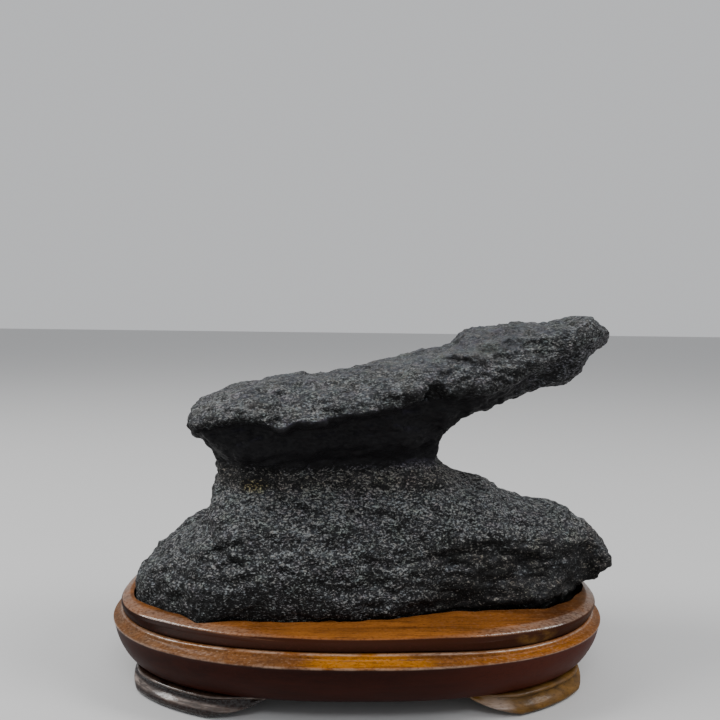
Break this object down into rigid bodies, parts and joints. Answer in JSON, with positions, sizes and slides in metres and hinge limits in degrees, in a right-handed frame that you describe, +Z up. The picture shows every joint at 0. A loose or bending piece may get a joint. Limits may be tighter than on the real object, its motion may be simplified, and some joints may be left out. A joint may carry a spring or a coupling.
{
  "type": "scholars rock on stand",
  "caption": "Dark natural stone whose leaning slab overhangs a narrow waist, standing loose in the seat of an oval carved wood stand with crescent feet.",
  "frame": {"origin": "middle of the underside of the box round the whole object, on the surface that the feet stand on", "axes": "+X along the long way of the stand, towards the end that the slab leans out over; -Y to the front; +Z up"},
  "size_m": [0.2638, 0.152, 0.1894],
  "materials": {
    "dark_stone": "rough, fine grained",
    "lacquered_wood": "glossy lacquer"
  },
  "bodies": {
    "root": {"stone": "dark_stone", "stand": "lacquered_wood"}
  },
  "joints": []
}
